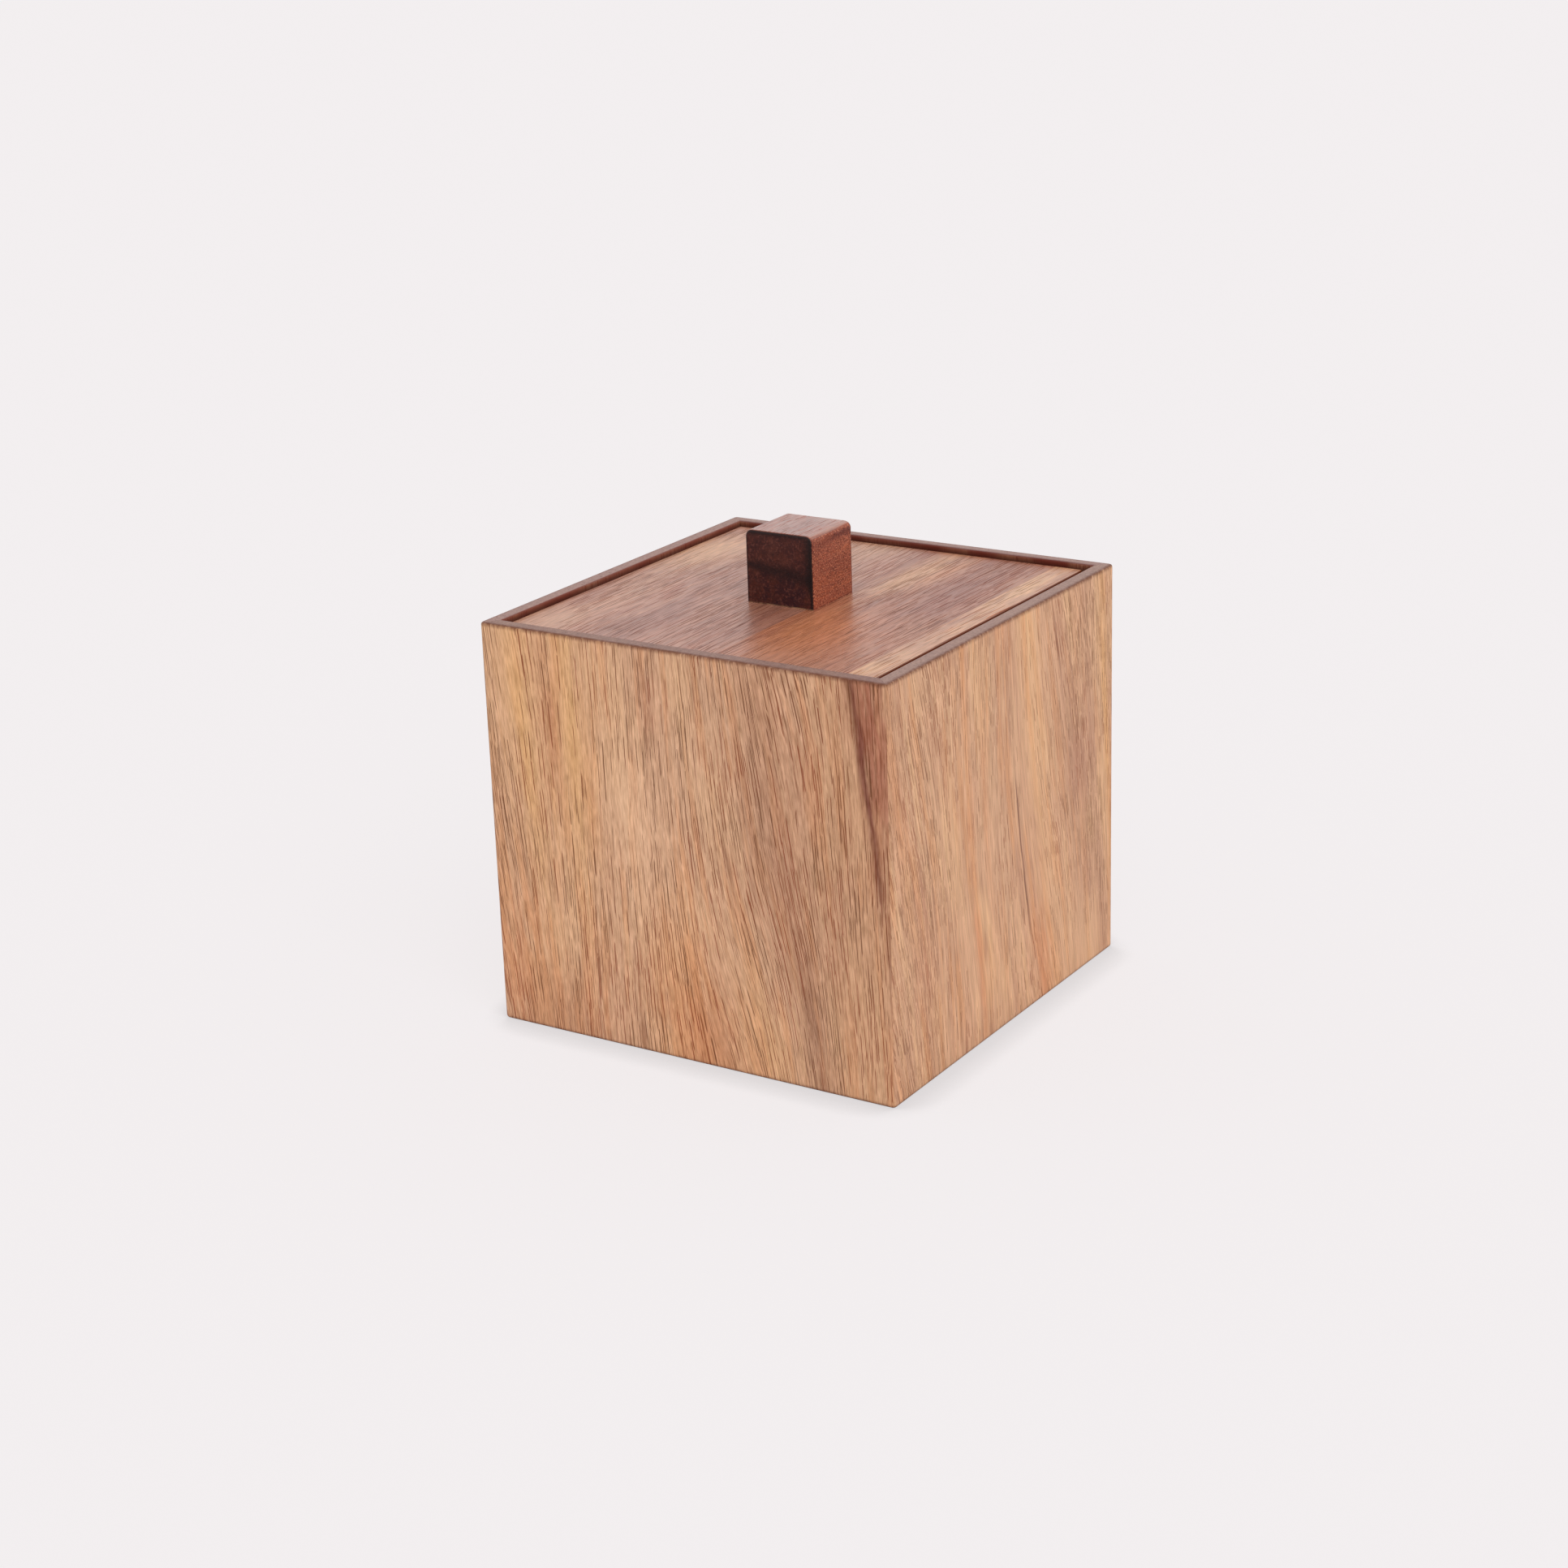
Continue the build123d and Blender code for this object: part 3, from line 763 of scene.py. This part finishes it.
def knob_pale_flecks(tree, whole):
    """Pale flecks where the right face cuts the rays."""
    flecks = cloud(tree, whole, across=0.34, along=0.3, seed=6.1, detail=1.0)
    return overlap(tree, knob_side(tree, whole), fade(tree, flecks, 0.48, 0.7, high=0.85))


def knob_dark_flecks(tree, whole):
    """Dark flecks between them."""
    flecks = cloud(tree, whole, across=0.42, along=0.36, seed=9.8, detail=1.0)
    return overlap(tree, knob_side(tree, whole), fade(tree, flecks, 0.5, 0.7, high=0.85))


def knob_plum_patches(tree, whole):
    """The lower end grain is more purple than the upper."""
    patch = cloud(tree, whole, across=3.6, along=3.6, seed=7.7)
    lower = fade(tree, knob_up(tree, whole), 0.0, -3.0, low=0.35)
    return overlap(tree, knob_front(tree, whole), lower, fade(tree, patch, 0.4, 0.6, high=0.6))


def knob_brown_patches(tree, whole):
    """Lighter brown in the upper middle of the end grain."""
    patch = cloud(tree, whole, across=1.6, along=1.6, seed=3.7)
    inward = fade(tree, calc(tree, "ABSOLUTE", knob_across(tree, whole)), 6.5, 2.0)
    above = calc(tree, "SUBTRACT", knob_up(tree, whole), 3.6)
    level = fade(tree, calc(tree, "ABSOLUTE", above), 4.0, 1.5)
    return overlap(tree, knob_front(tree, whole), overlap(tree, inward, level),
                   fade(tree, patch, 0.4, 0.65, low=0.1, high=0.7))


def knob_front_flecks(tree, whole):
    """Small lighter flecks all over the end grain."""
    flecks = cloud(tree, whole, across=0.55, along=0.55, seed=4.6)
    return overlap(tree, knob_front(tree, whole), fade(tree, flecks, 0.5, 0.72, high=0.5))


def knob_top_streaks(tree, whole):
    """Soft pale streaks along the grain of the knob's top, which runs along Y on the object's own axes."""
    streaks_per_mm = calc_vector(tree, "MULTIPLY", whole, (2.2, 0.09, 2.2))
    streaks = cloud(tree, streaks_per_mm, across=1.0, along=1.0, seed=2.7)
    return overlap(tree, knob_top(tree, whole), fade(tree, streaks, 0.36, 0.64, high=0.42))


def knob_painted_highlight_line(tree, whole):
    """A thin painted highlight: a pale, broken line along the foot of the front face."""
    foot = fade(tree, knob_up(tree, whole), 0.32 - KNOB_HEIGHT / 2, 0.16 - KNOB_HEIGHT / 2)
    broken = cloud(tree, whole, across=2.2, along=2.2, seed=5.5, detail=1.0)
    return overlap(tree, knob_front(tree, whole), foot, fade(tree, broken, 0.35, 0.6, low=0.2, high=0.8))


knob_wood = lid_wood(
    "knob_wood",
    {"Pale": rgb(174, 98, 70), "Middle": rgb(150, 76, 54), "Deep": rgb(112, 50, 38), "Warm": rgb(168, 84, 50),
     "Line": rgb(74, 30, 20), "Zone": 6.0, "Zones": 0.5, "Band": 0.7, "Bands": 0.9, "Warm Bands": 0.4,
     "Lines": 0.3},
    {"Pore Density": 0.5, "Pore Spacing": 0.5, "Pore Width": 0.2, "Pore Length": 3.4, "Pore Depth": 0.32,
     "Fibre": 1.2, "Fibre Length": 1.6, "Veil": 0.0, "End Color": rgb(48, 15, 14), "End Mottle": 3.4,
     "Edge Color": rgb(66, 26, 18)},
    seed=41.0, wander=1.0,
    edges={"Middle": (KNOB_CENTRE, 0, KNOB_MIDDLE), "Half": (KNOB_HALF, KNOB_HALF, KNOB_HEIGHT / 2), "Reach": 0.5},
    wear=0.5,
    # Laid over the knob: its own flecks, patches and streaks, painted shade below the right face's top edge, and a
    # painted highlight along the foot of the front face.
    stains=[
        (rgb(202, 128, 98), knob_pale_flecks), (rgb(98, 42, 30), knob_dark_flecks), (rgb(84, 28, 26), knob_back_edge_and_painted_shade),
        (rgb(84, 42, 32), knob_brown_patches), (rgb(36, 10, 22), knob_plum_patches),
        (rgb(110, 62, 52), knob_front_flecks), (rgb(196, 176, 166), knob_top_streaks),
        (rgb(20, 8, 12), knob_dark_band), (rgb(14, 6, 8), knob_dark_sides), (rgb(150, 112, 84), knob_painted_highlight_line),
    ],
    squash=1.0, coat=1.0, coated=knob_top)


# ---------------------------------------------------------------- bottom and dowel
BOTTOM_TONES = {
    "bottom_left_stave": (rgb(204, 154, 112), rgb(186, 134, 100), rgb(152, 100, 74), 0.04, 51.0),
    "bottom_middle_stave": (rgb(192, 140, 106), rgb(170, 116, 88), rgb(136, 86, 66), -0.02, 57.0),
    "bottom_right_stave": (rgb(212, 166, 124), rgb(196, 148, 112), rgb(164, 114, 86), 0.02, 63.0),
}
bottom_wood = {}
for stave, (pale, middle, deep, stave_lean, stave_seed) in BOTTOM_TONES.items():
    bottom_wood[stave] = acacia(
        stave + "_wood", (-QUARTER, 0, 0), (0, 0, 0),
        {"Pale": pale, "Middle": middle, "Deep": deep, "Warm": rgb(190, 126, 84), "Line": rgb(110, 62, 42),
         "Zone": 14.0, "Zones": 0.6, "Band": 2.0, "Bands": 0.65, "Warm Bands": 0.4, "Lines": 0.5},
        {**WALL_SURFACE, "Pore Density": 0.66, "Pore Depth": 0.8},
        seed=stave_seed, lean=stave_lean, wander=2.5, ripple=0.4)

dowel_wood = acacia(
    "dowel_wood", (0, 0, 0), (0, 0, 0),
    {"Pale": rgb(222, 190, 150), "Middle": rgb(212, 178, 136), "Deep": rgb(198, 160, 118), "Warm": rgb(206, 166, 120),
     "Line": rgb(170, 130, 94), "Zone": 3.0, "Zones": 0.5, "Band": 0.7, "Bands": 0.4, "Warm Bands": 0.2,
     "Lines": 0.1},
    {"Pore Density": 0.3, "Pore Width": 0.12, "Pore Length": 2.0, "Pore Depth": 0.3, "Pore Color": rgb(160, 120, 84),
     "End Color": rgb(196, 160, 120), "Satin": 0.6},
    seed=71.0)

WOOD = {
    "front_wall": front_wall_wood, "right_wall": right_wall_wood, "back_wall": back_wall_wood,
    "left_wall": left_wall_wood, "lid_wide_stave": lid_wide_stave_wood,
    "lid_middle_stave": lid_middle_stave_wood, "lid_narrow_stave": lid_narrow_stave_wood, "knob": knob_wood,
    "knob_dowel": dowel_wood, **bottom_wood,
}
for piece_name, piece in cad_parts.items():
    piece.data.materials.clear()
    piece.data.materials.append(WOOD[piece_name])


# ---------------------------------------------------------------- floor, light and camera
BACKDROP = (0.896, 0.863, 0.871, 1)
DAYLIGHT = 0.76

FLOOR_METRES = 24
FLOOR_GLOW = 0.85  # how much of the floor is its own even colour where the camera sees it
SHADOW_REACH = 12.0
SHADOW_LEAVES = 0.84  # what the deepest shadow leaves of the floor's colour

LAMP_ENERGY = 1.1
LAMP_DEGREES = 50
LAMP_TOWARDS = Vector((0.72, -0.66, 0.80))

FRAME_PIXELS = 1932
SENSOR_MM = 36.0
FOCAL_PIXELS = 3731.6
CAMERA_AZIMUTH = 32.738
CAMERA_ELEVATION = 19.214
CAMERA_ROLL = -1.888
CAMERA_PLACE = Vector((0.33810, -0.53615, 0.26840))


def add_floor():
    """A wide pale floor. Seen straight on it keeps the backdrop's colour and a light shadow."""
    bpy.ops.mesh.primitive_plane_add(size=FLOOR_METRES)
    floor = bpy.context.object
    floor.name = "floor"
    material, tree, matt = start_material("pale_floor")
    open_sky = add_node(tree, "AmbientOcclusion", {"Distance": SHADOW_REACH / MM}, samples=8).outputs["AO"]
    shaded = calc_vector(tree, "MULTIPLY", BACKDROP[:3], fade(tree, open_sky, 0.62, 0.88, low=SHADOW_LEAVES))
    join(tree, shaded, matt.inputs["Base Color"])
    matt.inputs["Roughness"].default_value = 0.9
    matt.inputs["Specular IOR Level"].default_value = 0.0
    even = add_node(tree, "Emission", {"Color": shaded, "Strength": 1.0})
    glow = calc(tree, "MULTIPLY", add_node(tree, "LightPath").outputs["Is Camera Ray"], FLOOR_GLOW)
    mixed = add_node(tree, "MixShader", {0: glow, 1: matt.outputs[0], 2: even.outputs[0]})
    join(tree, mixed.outputs[0], tree.nodes["Material Output"].inputs["Surface"])
    floor.data.materials.append(material)


def add_daylight():
    """Even white light from all round, and the pale backdrop wherever it is seen or mirrored."""
    world = bpy.data.worlds.new("studio")
    world.use_nodes = True
    bpy.context.scene.world = world
    tree = world.node_tree
    rays = add_node(tree, "LightPath").outputs
    seen = largest(tree, rays["Is Camera Ray"], rays["Is Glossy Ray"], rays["Is Transmission Ray"])
    light = (DAYLIGHT, DAYLIGHT, DAYLIGHT, 1)
    join(tree, paint(tree, seen, light, BACKDROP), tree.nodes["Background"].inputs["Color"])


def add_soft_lamp():
    """A broad lamp from the right front."""
    lamp = bpy.data.lights.new("soft_lamp", "SUN")
    lamp.energy = LAMP_ENERGY
    lamp.angle = math.radians(LAMP_DEGREES)
    soft_lamp = bpy.data.objects.new("soft_lamp", lamp)
    bpy.context.scene.collection.objects.link(soft_lamp)
    soft_lamp.rotation_euler = LAMP_TOWARDS.to_track_quat("Z", "Y").to_euler()


def add_camera():
    """A long lens at the right front corner, a little above the lid."""
    azimuth, elevation, roll = (math.radians(v) for v in (CAMERA_AZIMUTH, CAMERA_ELEVATION, CAMERA_ROLL))
    back = Vector((math.sin(azimuth) * math.cos(elevation), -math.cos(azimuth) * math.cos(elevation),
                   math.sin(elevation)))
    level = Vector((math.cos(azimuth), math.sin(azimuth), 0))
    upright = back.cross(level)
    right = level * math.cos(roll) + upright * math.sin(roll)
    up = upright * math.cos(roll) - level * math.sin(roll)
    lens = bpy.data.cameras.new("camera")
    lens.sensor_width = SENSOR_MM
    lens.lens = FOCAL_PIXELS / FRAME_PIXELS * SENSOR_MM
    camera = bpy.data.objects.new("camera", lens)
    bpy.context.scene.collection.objects.link(camera)
    turned = Matrix((right, up, back)).transposed().to_4x4()
    camera.matrix_world = Matrix.Translation(CAMERA_PLACE) @ turned
    bpy.context.scene.camera = camera


add_floor()
add_daylight()
add_soft_lamp()
add_camera()
bpy.context.scene.view_settings.view_transform = "Standard"
